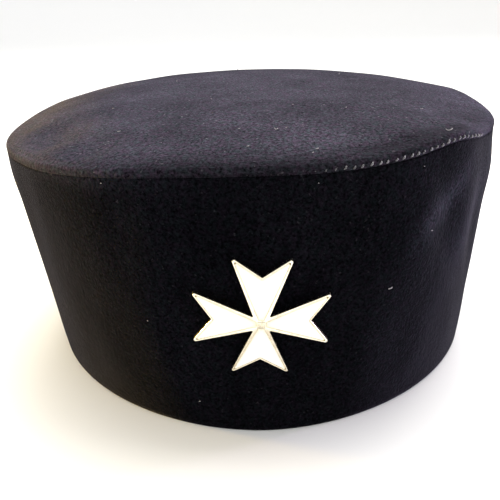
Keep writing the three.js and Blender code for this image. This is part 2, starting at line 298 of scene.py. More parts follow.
class VelvetSettings(bpy.types.PropertyGroup):
    side_columns: count_setting("Side columns", "Points round the side", 640, 90)
    top_columns: count_setting("Top columns", "Points round the top", 960, 90)
    side_rows: count_setting("Side rows", "Rows up the side", 84, 10)
    dome: length_setting("Dome", "Rise of the top", 9.3)
    ripple: length_setting("Ripple", "Height of the soft unevenness", 0.16)
    side_colour: colour_setting("Side pile", "Colour deep in the pile of the side", (0.0021, 0.0021, 0.0029))
    # The top's pile is painted about twelve times lighter than the side's, as light falling on the top
    top_colour: colour_setting("Top pile", "Colour deep in the pile of the top", (0.026, 0.0238, 0.0325))
    sheen_colour: colour_setting("Sheen", "Colour of the pile at grazing angles", (0.62, 0.60, 0.72))
    side_sheen: share_setting("Side sheen", "Strength of the sheen of the side", 0.17)
    top_sheen: share_setting("Top sheen", "Strength of the sheen of the top", 0.1)
    lining_colour: colour_setting("Inside", "Colour of the cloth inside", (0.03, 0.028, 0.029))


class CrossSettings(bpy.types.PropertyGroup):
    reach: length_setting("Reach", "From the centre to the points", 20.85)
    thickness: length_setting("Thickness", "Of the gilt plate", 1.5)
    bend: angle_setting("Bend", "How far the arms bend back", 9.6)
    lean: angle_setting("Lean", "How far the top leans out from the velvet", 0.9)
    turn: angle_setting("Turn", "Turn of the cross on its post", -2.3)
    enamel_rise: length_setting("Enamel rise", "How far the enamel is domed", 0.16)
    gilt_colour: colour_setting("Gilt", "Colour of the gilt metal", (0.97, 0.91, 0.74))
    enamel_colour: colour_setting("Enamel", "Colour of the white enamel", (0.94, 0.93, 0.89))
    nut_colour: colour_setting("Nut", "Colour of the nut", (0.62, 0.5, 0.27))


class TrimSettings(bpy.types.PropertyGroup):
    stitch_pitch: length_setting("Stitch pitch", "From stitch to stitch", 2.75)
    thread_radius: length_setting("Thread radius", "Half the thread's thickness", 0.3)
    thread_colour: colour_setting("Thread", "Colour of the bare thread", (0.125, 0.12, 0.13))
    lint_colour: colour_setting("Lint", "Colour of the lint", (0.34, 0.31, 0.33))
    seed: IntProperty(name="Seed", description="Start of the random draws", default=7)


class StudioSettings(bpy.types.PropertyGroup):
    floor_colour: colour_setting("Floor", "Colour of floor and backdrop", (0.93, 0.93, 0.93))
    sky_strength: share_setting("Surroundings", "Strength of the even light", 0.95)
    key_power: power_setting("Key light", "Power of the light above", 16.5)
    fill_power: power_setting("Fill light", "Power of the light in front", 0.8)
    warm_power: power_setting("Warm light", "Power of the light at left", 5.5)
    cool_power: power_setting("Cool light", "Power of the light at right", 3.2)


# Shape of the cap


def smooth(value, low, high):
    t = np.clip((value - low) / (high - low), 0.0, 1.0)
    return t * t * (3 - 2 * t)


def bump(distance):
    return np.exp(-distance * distance)


def turn_between(bearing, turn):
    """The shortest way from a bearing to a turn, in degrees."""
    return (np.degrees(turn) - bearing + 180) % 360 - 180


def signed_power(value, power):
    return np.sign(value) * np.abs(value) ** power


def plan_points(plan, turn):
    across, along = np.cos(turn), np.sin(turn)
    power = 2 / np.where(along < 0, plan["front"], plan["back"])
    x = plan["half_width"] * signed_power(across, power)
    return np.stack([x, plan["half_length"] * signed_power(along, power)], -1)


def crown_wave(turn, column, reach=1.0):
    """The sum of the waves at a turn, which die away towards the middle of the top."""
    index = WAVE_COLUMNS.index(column)
    return sum(wave[index] * reach ** wave[0] * np.cos(wave[0] * (turn - math.radians(wave[1])))
               for wave in CROWN_WAVES)


def edge_lift(turn, reach=1.0):
    rises = sum(lift * bump(turn_between(bearing, turn) / half) for bearing, half, lift in EDGE_RISES)
    return crown_wave(turn, "lift", reach) + rises * reach ** RISE_POWER


def outline(turn, share):
    """The outer face's plan at a share of the band's height."""
    frontness = (1 - np.sin(turn)) / 2
    crown = plan_points(CROWN, turn) * (1 + frontness * crown_wave(turn, "swell"))[..., None]
    crown[..., 0] += CROWN["shift"]
    mixed = plan_points(RIM, turn) * (1 - share) + crown * share
    return mixed * (1 + 4 * BARREL * share * (1 - share))


def inward(turn, share):
    """The horizontal direction into the cap, square to its plan."""
    step = math.radians(0.5)
    tangent = outline(turn + step, share) - outline(turn - step, share)
    tangent /= np.linalg.norm(tangent, axis=-1, keepdims=True)
    return np.stack([-tangent[..., 1], tangent[..., 0]], -1)


def fold_depth(turn, height, folds):
    depth = 0.0
    for bearing, middle, half_turn, half_height, lean, deep in folds:
        rise = (height - middle) / half_height
        depth = depth + deep * bump(turn_between(bearing - lean * rise, turn) / half_turn) * bump(rise)
    return depth


def dent_depth(turn, reach, dents):
    depth = 0.0
    for bearing, middle, half_turn, half_reach, deep in dents:
        across = bump(turn_between(bearing, turn) / half_turn)
        depth = depth + deep * across * bump((reach - middle) / half_reach)
    return depth


def ripple_of(seed, first, second, whole):
    """Soft unevenness over two coordinates, from sines whose steepness lies in two ranges. Whole numbers of
    waves in the first coordinate let it close round the cap."""
    draw = random.Random(seed)
    terms = []
    for _ in range(16):
        steep = draw.uniform(*first)
        terms.append((round(steep) if whole else steep, draw.uniform(*second) * draw.choice((-1, 1)),
                      draw.uniform(0, 2 * math.pi)))

    def ripple(a, b):
        return sum(np.sin(p * a + q * b + phase) for p, q, phase in terms) / math.sqrt(len(terms))

    return ripple


def worn_and_lit(turn):
    """How far a turn lies where the pile is worn off the stitches and painted light falls on them."""
    start, end, fade = (WORN_AND_LIT_STRETCH[key] for key in ("from", "to", "fade"))
    begun = smooth(turn_between(start, turn), -fade, fade)
    return begun * (1 - smooth(turn_between(end, turn), -fade, fade))


def back_seam_depth(turn, height):
    """The plain seam at the centre back, a fine valley between two low ridges."""
    across = turn_between(BACK_SEAM["bearing"], turn) * math.radians(1) * CROWN["half_width"]
    half = BACK_SEAM["half_width"]
    valley = BACK_SEAM["depth"] * bump(across / half)
    ridges = BACK_SEAM["ridge"] * bump((np.abs(across) - 3 * half) / half)
    pull = BACK_SEAM["pucker"] * bump(across / 4) * np.cos(height * 2 * math.pi / BACK_SEAM["pitch"])
    return valley - ridges + pull


def side_points(turn, share, inset=0.0, above=0.0, relief=None):
    """A ring of the side. Fine relief, where given, fades out towards the rim as the folds do."""
    height = share * (BAND_HEIGHT + edge_lift(turn))
    depth = fold_depth(turn, height, SIDE_FOLDS)
    if relief:
        depth = depth + relief(turn, height)
    depth = depth * smooth(height, 0, 20)
    plan = outline(turn, share) + inward(turn, share) * np.reshape(inset + depth, (-1, 1))
    return np.column_stack([plan, height + above])


def tip_points(turn, reach, dome, inset=0.0, above=0.0, relief=None):
    """A ring of the top panel: a share of the way out to the edge, and a height above the band."""
    edge = side_points(turn, 1.0, inset)
    x, y = CROWN["shift"] * (1 - reach) + edge[:, 0] * reach, edge[:, 1] * reach
    dents = dent_depth(turn, reach, TOP_DENTS)
    if relief:
        dents = dents + relief(turn, reach, x, y)
    rise = dome * (1 - reach ** DOME_POWER) - dents * smooth(1 - reach, 0, 0.04)
    return np.column_stack([x, y, BAND_HEIGHT + edge_lift(turn, reach) + above + rise])


def arc_length(turn):
    """The way along the crown's edge from +X to a turn."""
    fine = np.linspace(0, 2 * math.pi, 3601)
    steps = np.linalg.norm(np.diff(side_points(fine, 1.0), axis=0), axis=1)
    return np.interp(turn % (2 * math.pi), fine, np.concatenate([[0], np.cumsum(steps)]))


def stitch_count(pitch):
    """How many stitches of about that pitch go round the crown, and their true pitch."""
    whole_way = arc_length(np.array([2 * math.pi - 1e-9]))[0]
    count = round(whole_way / pitch)
    return count, whole_way / count


# Meshes


def in_place(points):
    """Millimetres from the middle of the rim as metres in the frame."""
    return (np.asarray(points, float) - np.array(MIDDLE)) * MM


def make_object(name, points, faces, materials, replaced=(), face_materials=None, attributes=None):
    """A mesh object at the origin that rides on the cap."""
    mesh = bpy.data.meshes.new(name)
    mesh.from_pydata([tuple(p) for p in points], [], [tuple(f) for f in faces])
    for material in materials:
        mesh.materials.append(material)
    mesh.polygons.foreach_set("use_smooth", [True] * len(mesh.polygons))
    if face_materials is not None:
        mesh.polygons.foreach_set("material_index", face_materials)
    for label, values in (attributes or {}).items():
        attribute = mesh.attributes.new(label, "FLOAT", "POINT")
        attribute.data.foreach_set("value", np.asarray(values, np.float32))
    mesh.update()
    made = bpy.data.objects.new(name, mesh)
    bpy.context.scene.collection.objects.link(made)
    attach(made, BODY)
    if replaced:
        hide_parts(*replaced)
    return made


def ring_faces(rows, columns, closed_rows=False):
    """Quads between rows of points that each close on themselves."""
    faces = []
    for row in range(rows if closed_rows else rows - 1):
        low, high = row * columns, (row + 1) % rows * columns
        for column in range(columns):
            after = (column + 1) % columns
            faces.append((low + column, low + after, high + after, high + column))
    return faces


def loft(rows, columns, closed):
    """Points, faces and material slots through rings given as (slot, points). A face takes the slot of its
    first ring. An open loft is closed with a fan at each end."""
    points = [ring for _, ring in rows]
    faces = ring_faces(len(rows), columns, closed)
    slots = [slot for slot, _ in rows[:len(rows) - (0 if closed else 1)] for _ in range(columns)]
    if not closed:
        start, end = len(rows) * columns, len(rows) * columns + 1
        faces += pole_faces(0, columns, start, False) + pole_faces(start - columns, columns, end, True)
        slots += [rows[0][0]] * columns + [rows[-1][0]] * columns
        points += [points[0].mean(0), points[-1].mean(0)]
    return np.vstack(points), faces, slots


def pole_faces(start, columns, pole, upwards):
    """A fan from a ring of points to one point."""
    fan = []
    for column in range(columns):
        edge = start + column, start + (column + 1) % columns
        fan.append((*(edge if upwards else edge[::-1]), pole))
    return fan


def tube(path, radius, sides, taper=0.0):
    """Points and faces of a closed thread along a path, thinner towards its ends by a share."""
    path = [Vector(p) for p in path]
    points, faces = [], []
    for index, spot in enumerate(path):
        ahead = (path[min(index + 1, len(path) - 1)] - path[max(index - 1, 0)]).normalized()
        across = ahead.cross(Vector((0.31, 0.17, 0.93))).normalized()
        other = ahead.cross(across)
        end = abs(2 * index / (len(path) - 1) - 1)
        width = radius * (1 - taper * end ** 3)
        for side in range(sides):
            angle = 2 * math.pi * side / sides
            points.append(spot + (across * math.cos(angle) + other * math.sin(angle)) * width)
    faces += ring_faces(len(path), sides)
    first, last = len(points), len(points) + 1
    points += [path[0], path[-1]]
    faces += pole_faces(0, sides, first, False)
    faces += pole_faces((len(path) - 1) * sides, sides, last, True)
    return points, faces


def gather(parts):
    """Joins lists of points and faces into one, with a count of points for each part."""
    points, faces, counts = [], [], []
    for part_points, part_faces in parts:
        start = len(points)
        points += list(part_points)
        faces += [tuple(start + index for index in face) for face in part_faces]
        counts.append(len(part_points))
    return points, faces, counts


# Nodes


def node(tree, kind, inputs=None, **settings):
    """A node with its settings, and with values or linked sockets for its inputs."""
    made = tree.nodes.new(kind)
    for name, value in settings.items():
        setattr(made, name, value)
    for key, value in (inputs or {}).items():
        if isinstance(value, bpy.types.NodeSocket):
            tree.links.new(value, made.inputs[key])
        else:
            made.inputs[key].default_value = value
    return made


def place_in(tree):
    """The place on the cap that a texture is laid by, in metres."""
    return node(tree, "ShaderNodeTexCoord").outputs["Object"]


def stretched(tree, place, scale, rotation=(0.0, 0.0, 0.0)):
    values = {"Vector": place, "Rotation": rotation, "Scale": scale}
    return node(tree, "ShaderNodeMapping", values).outputs[0]


def carried(tree, name):
    """A value that the mesh carries at its points."""
    return node(tree, "ShaderNodeAttribute", attribute_name=name).outputs["Fac"]


def mixed(tree, factor, first, second, blend="MIX"):
    """The colour output of a Mix node."""
    made = node(tree, "ShaderNodeMix", {0: factor, 6: first, 7: second}, data_type="RGBA", blend_type=blend)
    return made.outputs[2]


def maths(tree, operation, first, second=0.0):
    return node(tree, "ShaderNodeMath", {0: first, 1: second}, operation=operation).outputs[0]


def blended(tree, first, first_share, second, second_share):
    """The sum of two values, each times its share."""
    return maths(tree, "ADD", maths(tree, "MULTIPLY", first, first_share),
                 maths(tree, "MULTIPLY", second, second_share))


def spread(tree, value, low, high, to_low=0.0, to_high=1.0):
    """A value taken from one range to another and held inside it."""
    ends = {"Value": value, "From Min": low, "From Max": high, "To Min": to_low, "To Max": to_high}
    return node(tree, "ShaderNodeMapRange", ends).outputs["Result"]


def noise(tree, vector, scale, detail=2.0, roughness=0.5):
    values = {"Vector": vector, "Scale": scale, "Detail": detail, "Roughness": roughness}
    return node(tree, "ShaderNodeTexNoise", values).outputs["Fac"]


def new_group(name, inputs):
    """A shader node group with named inputs, and outputs for a colour, a roughness and a height."""
    group = bpy.data.node_groups.new(name, "ShaderNodeTree")
    for label, value in inputs.items():
        kind = "NodeSocketFloat" if isinstance(value, float) else "NodeSocketColor"
        group.interface.new_socket(label, in_out="INPUT", socket_type=kind).default_value = value
    for label, kind in (("Colour", "Color"), ("Roughness", "Float"), ("Height", "Float")):
        group.interface.new_socket(label, in_out="OUTPUT", socket_type="NodeSocket" + kind)
    return group, group.nodes.new("NodeGroupInput").outputs, group.nodes.new("NodeGroupOutput").inputs


def nap_group():
    """Velvet pile: patches where the nap is laid differently, streaks along the nap and the grain of single
    tufts.
    """
    existing = bpy.data.node_groups.get("velvet_nap")
    if existing:
        return existing
    group, given, result = new_group("velvet_nap", {
        "Deep Colour": BLACK, "Laid Colour": BLACK, "Patch Scale": 40.0, "Streaks": 0.5, "Dust": 1.0})
    place = place_in(group)
    along = stretched(group, place, (1.0, 1.0, 0.16))
    patches = spread(group, noise(group, place, given["Patch Scale"], 4.0, 0.6), 0.38, 0.68)
    streaks = spread(group, noise(group, along, PILE["streaks"], 3.0, 0.6), 0.35, 0.7)
    tufts = noise(group, place, PILE["tufts"], 3.0, 0.75)
    clumps = noise(group, place, PILE["clumps"], 2.0, 0.6)
    faded = noise(group, place, PILE["hues"], 1.0)
    laid = blended(group, patches, 0.6, maths(group, "MULTIPLY", streaks, given["Streaks"]), 0.4)
    speckled = maths(group, "MULTIPLY", laid, spread(group, clumps, 0.3, 0.7, 0.55, 1.25))
    colour = mixed(group, speckled, given["Deep Colour"], given["Laid Colour"])
    grain = spread(group, tufts, 0.34, 0.66, 0.15, 1.85)
    shade = mixed(group, spread(group, faded, 0.35, 0.65), REDDISH, GREENISH)
    hued = mixed(group, 1.0, colour, shade, "MULTIPLY")
    depth = node(group, "ShaderNodeCombineColor", {0: grain, 1: grain, 2: grain}).outputs[0]
    grained = mixed(group, 1.0, hued, depth, "MULTIPLY")
    specks = spread(group, noise(group, place, PILE["specks"], 1.0), 0.7, 0.78)
    dusty = maths(group, "MULTIPLY", specks, given["Dust"])
    group.links.new(mixed(group, dusty, grained, DUST_COLOUR), result["Colour"])
    group.links.new(spread(group, laid, 0.0, 1.0, 0.96, 0.8), result["Roughness"])
    group.links.new(blended(group, tufts, 0.65, clumps, 0.35), result["Height"])
    return group


def metal_wear_group():
    """Handled metal: warm tarnish in patches, and fine scratches."""
    existing = bpy.data.node_groups.get("metal_wear")
    if existing:
        return existing
    group, given, result = new_group(
        "metal_wear", {"Bright Colour": WHITE, "Tarnish Colour": BLACK, "Tarnish": 0.5})
    place = place_in(group)
    drawn = stretched(group, place, (1.0, 9.0, 9.0), (0.3, 0.5, 0.9))
    clouds = spread(group, noise(group, place, GRAINS["tarnish"], 5.0, 0.65), 0.4, 0.75)
    scratches = noise(group, drawn, GRAINS["scratches"], 3.0, 0.7)
    dulled = maths(group, "MULTIPLY", clouds, given["Tarnish"])
    group.links.new(mixed(group, dulled, given["Bright Colour"], given["Tarnish Colour"]), result["Colour"])
    group.links.new(spread(group, dulled, 0.0, 1.0, 0.16, 0.5), result["Roughness"])
    group.links.new(scratches, result["Height"])
    return group


# Materials


def new_material(name, **uniform):
    """A material with a Principled shader whose uniform values are set on its sockets, and its nodes."""
    material = bpy.data.materials.new(name)
    material.use_nodes = True
    shader = material.node_tree.nodes["Principled BSDF"]
    for key, value in uniform.items():
        shader.inputs[key.replace("_", " ").title().replace("Ior", "IOR")].default_value = value
    return material, material.node_tree


def opaque(colour, gain=1.0):
    return (colour[0] * gain, colour[1] * gain, colour[2] * gain, 1.0)


def surface(tree, colour, roughness=None, height=None, strength=0.0, depth=0.0):
    """Feeds a material's shader with a colour, and with a roughness and a height of a depth in millimetres
    where they change over the surface."""
    shader = tree.nodes["Principled BSDF"]
    tree.links.new(colour, shader.inputs["Base Color"])
    if roughness is not None:
        tree.links.new(roughness, shader.inputs["Roughness"])
    if height is not None:
        values = {"Strength": strength, "Distance": depth * MM, "Height": height}
        relief = node(tree, "ShaderNodeBump", values)
        tree.links.new(relief.outputs[0], shader.inputs["Normal"])


def velvet_material(velvet, panel):
    """Velvet whose laid pile is lighter than its depth, with a sheen towards its silhouette. Where the mesh
    carries painted light, its colour is multiplied by a gain: higher for painted highlights, lower for
    painted shade."""
    name = panel + "_velvet_pile"
    existing = bpy.data.materials.get(name)
    if existing:
        return existing
    lie, pile = VELVETS[panel], getattr(velvet, panel + "_colour")
    material, tree = new_material(
        name, sheen_weight=getattr(velvet, panel + "_sheen"), sheen_roughness=lie["softness"],
        sheen_tint=opaque(velvet.sheen_colour), specular_ior_level=0.0)
    nap = node(tree, "ShaderNodeGroup", {
        "Deep Colour": opaque(pile), "Laid Colour": opaque(pile, 2.2), "Patch Scale": lie["patches"],
        "Streaks": lie["streaks"], "Dust": lie["dust"]}, node_tree=nap_group()).outputs
    painted_light_and_shade, gain = carried(tree, lie["painted_light_and_shade"]), lie["gain"]
    colour = mixed(tree, painted_light_and_shade, nap["Colour"], opaque((gain, gain, gain)), "MULTIPLY")
    surface(tree, colour, nap["Roughness"], nap["Height"], strength=0.7, depth=0.8)
    return material


def inside_cloth(velvet):
    """The plain dark cloth of the inside, of uneven threads that cross."""
    existing = bpy.data.materials.get("inside_cloth")
    if existing:
        return existing
    material, tree = new_material("inside_cloth", roughness=0.9, specular_ior_level=0.2)
    place = place_in(tree)
    weave = maths(tree, "MULTIPLY", *(noise(tree, stretched(tree, place, drawn), GRAINS["weave"])
                                      for drawn in ((1.0, 1.0, 0.12), (0.12, 0.12, 1.0))))
    shade = blended(tree, weave, 0.5, noise(tree, place, GRAINS["cloth"], 3.0), 0.5)
    colour = mixed(tree, shade, opaque(velvet.lining_colour, 0.3), opaque(velvet.lining_colour, 2.4))
    surface(tree, colour, height=weave, strength=0.4, depth=0.2)
    return material


def metal_material(name, bright, tarnished, tarnish):
    material, tree = new_material(name, metallic=1.0)
    wear = node(tree, "ShaderNodeGroup", {
        "Bright Colour": opaque(bright), "Tarnish Colour": opaque(tarnished), "Tarnish": tarnish},
        node_tree=metal_wear_group()).outputs
    surface(tree, wear["Colour"], wear["Roughness"], wear["Height"], strength=0.12, depth=0.05)
    return material


def enamel_material(colour):
    """White enamel that thins to cream at its edges, with a trace of flow in the surface."""
    material, tree = new_material("white_enamel_glaze", coat_weight=0.6, coat_roughness=0.04)
    flow = noise(tree, place_in(tree), GRAINS["glaze"], 3.0)
    uneven = maths(tree, "MULTIPLY", flow, 0.3)
    thin = spread(tree, maths(tree, "ADD", carried(tree, "edge"), uneven), 0.45, 1.25)
    cream = (colour[0] * 0.98, colour[1] * 0.9, colour[2] * 0.72)
    glaze = mixed(tree, thin, opaque(colour), opaque(cream))
    surface(tree, glaze, spread(tree, flow, 0.3, 0.7, 0.1, 0.2), flow, strength=0.25, depth=0.08)
    return material


def thread_material(colour):
    """Twisted thread, painted light where the pile is worn off it and painted nearly black as shade in the
    pile.
    """
    material, tree = new_material("stitch_thread", roughness=0.55, sheen_weight=0.3)
    twist = noise(tree, place_in(tree), GRAINS["twist"])
    lit = mixed(tree, twist, opaque(colour, 0.7), opaque(colour, 1.3))
    shade = mixed(tree, carried(tree, "bareness"), THREAD_SHADE_IN_PILE, lit)
    surface(tree, shade, height=twist, strength=0.2, depth=0.1)
    return material


def lint_material(colour):
    material, tree = new_material("lint_fluff", roughness=0.9, sheen_weight=0.4)
    fuzz = noise(tree, place_in(tree), GRAINS["fluff"], 3.0)
    shade = mixed(tree, fuzz, opaque(colour, 0.5), opaque(colour, 1.2))
    surface(tree, shade, height=fuzz, strength=0.5, depth=0.1)
    return material


def floor_material(colour):
    material, tree = new_material("pale_floor", specular_ior_level=0.2)
    soft = noise(tree, place_in(tree), GRAINS["floor"])
    shade = mixed(tree, soft, opaque(colour, 0.985), opaque(colour))
    surface(tree, shade, spread(tree, soft, 0.0, 1.0, 0.75, 0.85))
    return material


# Shape of the cross, in its own plane: +Y up, +Z out of the cap, its back at z = 0 in the middle


def meeting(spot, way, other, onward):
    """Where two lines of the plane meet."""
    gap = other - spot
    return spot + way * ((gap.x * onward.y - gap.y * onward.x) / (way.x * onward.y - way.y * onward.x))


def rounded(corners, radii, inset):
    """A closed outline through corners set in by a distance, each rounded with the same count of points."""
    lines = []
    for index, start in enumerate(corners):
        along = (corners[(index + 1) % len(corners)] - start).normalized()
        lines.append((start + Vector((-along.y, along.x)) * inset, along))
    loop = []
    for index, radius in enumerate(radii):
        (spot, along), (other, onward) = lines[index - 1], lines[index]
        corner = meeting(spot, along, other, onward)
        turns_left = along.x * onward.y - along.y * onward.x > 0
        radius = max(radius + (-inset if turns_left else inset), 0.02)
        half = math.acos(max(-1.0, min(1.0, along.dot(onward)))) / 2
        first = corner - along * radius * math.tan(half)
        centre = first + Vector((-along.y, along.x)) * (radius if turns_left else -radius)
        for step in range(ROUNDING_STEPS):
            sweep = 2 * half * step / (ROUNDING_STEPS - 1)
            loop.append(centre + Matrix.Rotation(sweep if turns_left else -sweep, 2) @ (first - centre))
    return loop


def quarter_turned(points, quarter):
    for _ in range(quarter):
        points = [Vector((-p.y, p.x, *p[2:])) for p in points]
    return points


def tangent_from(spot, centre, radius, side):
    """The direction from a spot that just touches a circle, on its left (1) or on its right (-1)."""
    way = centre - spot
    return Matrix.Rotation(side * math.asin(radius / way.length), 2) @ way.normalized()


def arm_lines(reach):
    """The side and the brow of the arm that points up: two spots and the directions to its right point."""
    centre = Vector((math.tan(math.radians(22.5)), 1)) * (reach - POINT_ROUNDING)
    neck, notch = Vector((NECK, NECK)), Vector((0, reach * NOTCH_SHARE))
    side = tangent_from(neck, centre, POINT_ROUNDING, -1)
    brow = tangent_from(notch, centre, POINT_ROUNDING, 1)
    return neck, side, notch, brow


def mirrored(point):
    return Vector((-point.x, point.y))


def cross_corners(reach):
    """The sixteen corners of the cross, counter-clockwise, with the rounding of each."""
    neck, side, notch, brow = arm_lines(reach)
    point = meeting(neck, side, notch, brow)
    corners = []
    for quarter in range(4):
        corners += quarter_turned([point, notch, mirrored(point), mirrored(neck)], quarter)
    return corners, [POINT_ROUNDING, NOTCH_ROUNDING, POINT_ROUNDING, NECK_ROUNDING] * 4


def recess_corners(reach):
    """The five corners of the recess in the arm that points up, counter-clockwise."""
    neck, side, notch, brow = arm_lines(reach)
    flank = neck + Vector((-side.y, side.x)) * BORDER
    ledge = notch + Vector((brow.y, -brow.x)) * BORDER
    point = meeting(flank, side, ledge, brow)
    middle = meeting(Vector((0, 0)), Vector((0, 1)), ledge, brow)
    foot = Vector((ENAMEL_FOOT["half_width"], ENAMEL_FOOT["out"]))
    return [foot, point, middle, mirrored(point), mirrored(foot)]


def inside(point, loop):
    """Whether a point of the plane is inside a closed outline."""
    hit = False
    for index, start in enumerate(loop):
        end = loop[index - 1]
        if (start.y > point.y) != (end.y > point.y):
            if point.x < (end.x - start.x) * (point.y - start.y) / (end.y - start.y) + start.x:
                hit = not hit
    return hit


def filled(loop, holes=(), extra=(), links=()):
    """Triangles of the area inside an outline and outside its holes, through some extra points."""
    points = list(loop)
    edges = [(index, (index + 1) % len(loop)) for index in range(len(loop))]
    for hole in holes:
        start = len(points)
        points += list(hole)
        edges += [(start + index, start + (index + 1) % len(hole)) for index in range(len(hole))]
    first_extra = len(points)
    points += list(extra)
    edges += [(first_extra + a if a_extra else a, first_extra + b if b_extra else b)
              for (a, a_extra), (b, b_extra) in links]
    made, _, faces, *_ = delaunay_2d_cdt(points, edges, [], 1, 1e-5)
    kept = []
    for face in faces:
        middle = sum((made[index] for index in face), Vector((0, 0))) / len(face)
        if not any(inside(middle, hole) for hole in holes):
            kept.append(tuple(face))
    return made, kept


def distance_inside(point, loop):
    """How far a point lies from an outline."""
    best = 1e9
    for index, end in enumerate(loop):
        start = loop[index - 1]
        way = end - start
        share = max(0.0, min(1.0, (point - start).dot(way) / max(way.length_squared, 1e-12)))
        best = min(best, (point - start - way * share).length)
    return best


def walls(rings):
    """Points and faces between outlines of equal counts, each given with its height."""
    points = [Vector((p.x, p.y, height)) for loop, height in rings for p in loop]
    return points, ring_faces(len(rings), len(rings[0][0]))


def cap_face(loop, height, upwards, holes=(), extra=(), links=()):
    made, faces = filled(loop, holes, extra, links)
    return [Vector((p.x, p.y, height)) for p in made], [f if upwards else f[::-1] for f in faces]


def turned(profile, sides, bearing=0.0):
    """A closed solid turned from radii and heights; with four sides it is a square one."""
    angles = [bearing + 2 * math.pi * side / sides for side in range(sides)]
    points = [Vector((r * math.cos(a), r * math.sin(a), z)) for r, z in profile for a in angles]
    faces = ring_faces(len(profile), sides)
    points += [Vector((0, 0, profile[0][1])), Vector((0, 0, profile[-1][1]))]
    faces += pole_faces(0, sides, len(points) - 2, False)
    faces += pole_faces((len(profile) - 1) * sides, sides, len(points) - 1, True)
    return points, faces


def disc(radius, bottom, top, sides, soften=0.15):
    """A round closed solid with softened edges."""
    inner = radius - soften
    return turned([(inner, bottom), (radius, bottom + soften), (radius, top - soften), (inner, top)], sides)


def bent(points, bend):
    """The arms bend back from the middle, each as a flat plane."""
    slope = math.tan(bend)
    return [Vector((p.x, p.y, p.z - max(abs(p.x), abs(p.y)) * slope)) for p in points]


def stand_off(cross):
    """How far the middle of the cross stands off the velvet, so that its bent arms stay clear of it."""
    reach = cross.reach / MM
    return reach * (math.tan(cross.bend) + math.sin(cross.lean)) + CROSS_CLEARANCE


def cross_frame(cross):
    """From the plane of the cross to millimetres from the middle of the rim."""
    share = CROSS_HEIGHT / BAND_HEIGHT
    front = np.array([-math.pi / 2])
    seat, higher = (Vector(side_points(front, s)[0]) for s in (share, share + 0.02))
    seat.x = higher.x = 0.0
    right = Vector((1, 0, 0))
    up = Matrix.Rotation(cross.lean, 3, "X") @ (higher - seat).normalized()
    out = right.cross(up)
    place = Matrix((right, up, out)).transposed().to_4x4()
    place.translation = seat + out * stand_off(cross)
    return place @ Matrix.Rotation(cross.turn, 4, "Z")


def placed(points, place):
    return in_place([place @ p for p in points])


def welded(made, distance=0.002 * MM):
    """Joins the points that lie on each other."""
    work = bmesh.new()
    work.from_mesh(made.data)
    bmesh.ops.remove_doubles(work, verts=work.verts, dist=distance)
    work.to_mesh(made.data)
    work.free()
    return made


def settings():
    return bpy.context.scene.cap_settings


# Operators


class CAP_OT_velvet_side(bpy.types.Operator):
    """Build the velvet side with its folds, its turned-in rim and its plain inside"""
    bl_idname = "cap.velvet_side"
    bl_label = "Velvet Side"

    def execute(self, context):
        velvet = settings().velvet
        amount = velvet.ripple / MM
        ripple = ripple_of(settings().trim.seed, (4, 26), (0.02, 0.14), True)

        def relief(turn, height):
            fine = fold_depth(turn, height, FINE_FOLDS)
            return fine + back_seam_depth(turn, height) + amount * ripple(turn, height)

        turn = np.linspace(0, 2 * math.pi, velvet.side_columns, endpoint=False)
        rows = []

        def add(slot, share, inset=0.0, above=0.0, fine=None):
            rows.append((slot, side_points(turn, share, inset, above, fine)))

        pile, cloth = 0, 1
        for angle in RIM_ANGLES:
            lean = math.radians(angle)
            add(pile, 0, RIM_ROUNDING * (1 - math.cos(lean)), RIM_ROUNDING * (1 - math.sin(lean)))
        for share in np.linspace(0.012, 1, velvet.side_rows):
            add(pile, share, 0, -GAP if share == 1 else 0, relief)
        tongue = TURNED_WALL - TURNED_PROUD + GAP
        tongue_top = TURNED_HEIGHT - TIP_WALL - GAP
        add(pile, 1, 0.35, -0.1)
        add(cloth, 1, tongue, 0)
        add(cloth, 1, tongue, tongue_top)
        add(cloth, 1, WALL, tongue_top)
        for share in np.linspace(0.98, VELVET_TURNED_IN, 28):
            add(cloth, share, WALL)
        for share in (VELVET_TURNED_IN - 0.003, 0.04, 0.02):
            add(pile, share, WALL + VELVET_THICKNESS)
        for angle in reversed(RIM_ANGLES):
            lean = math.radians(angle)
            add(pile, 0, WALL - RIM_ROUNDING * (1 - math.cos(lean)), RIM_ROUNDING * (1 - math.sin(lean)))
        points, faces, slots = loft(rows, velvet.side_columns, True)
        # Painted highlights of the side, carried as a value that lightens the pile's colour
        brushed = np.clip(fold_depth(np.tile(turn, len(rows)), points[:, 2], PAINTED_SIDE_HIGHLIGHTS), 0, 1)
        make_object("velvet_side", in_place(points), faces,
                    [velvet_material(velvet, "side"), inside_cloth(velvet)],
                    ("side_band",), slots, {"brushed": brushed})
        return {"FINISHED"}


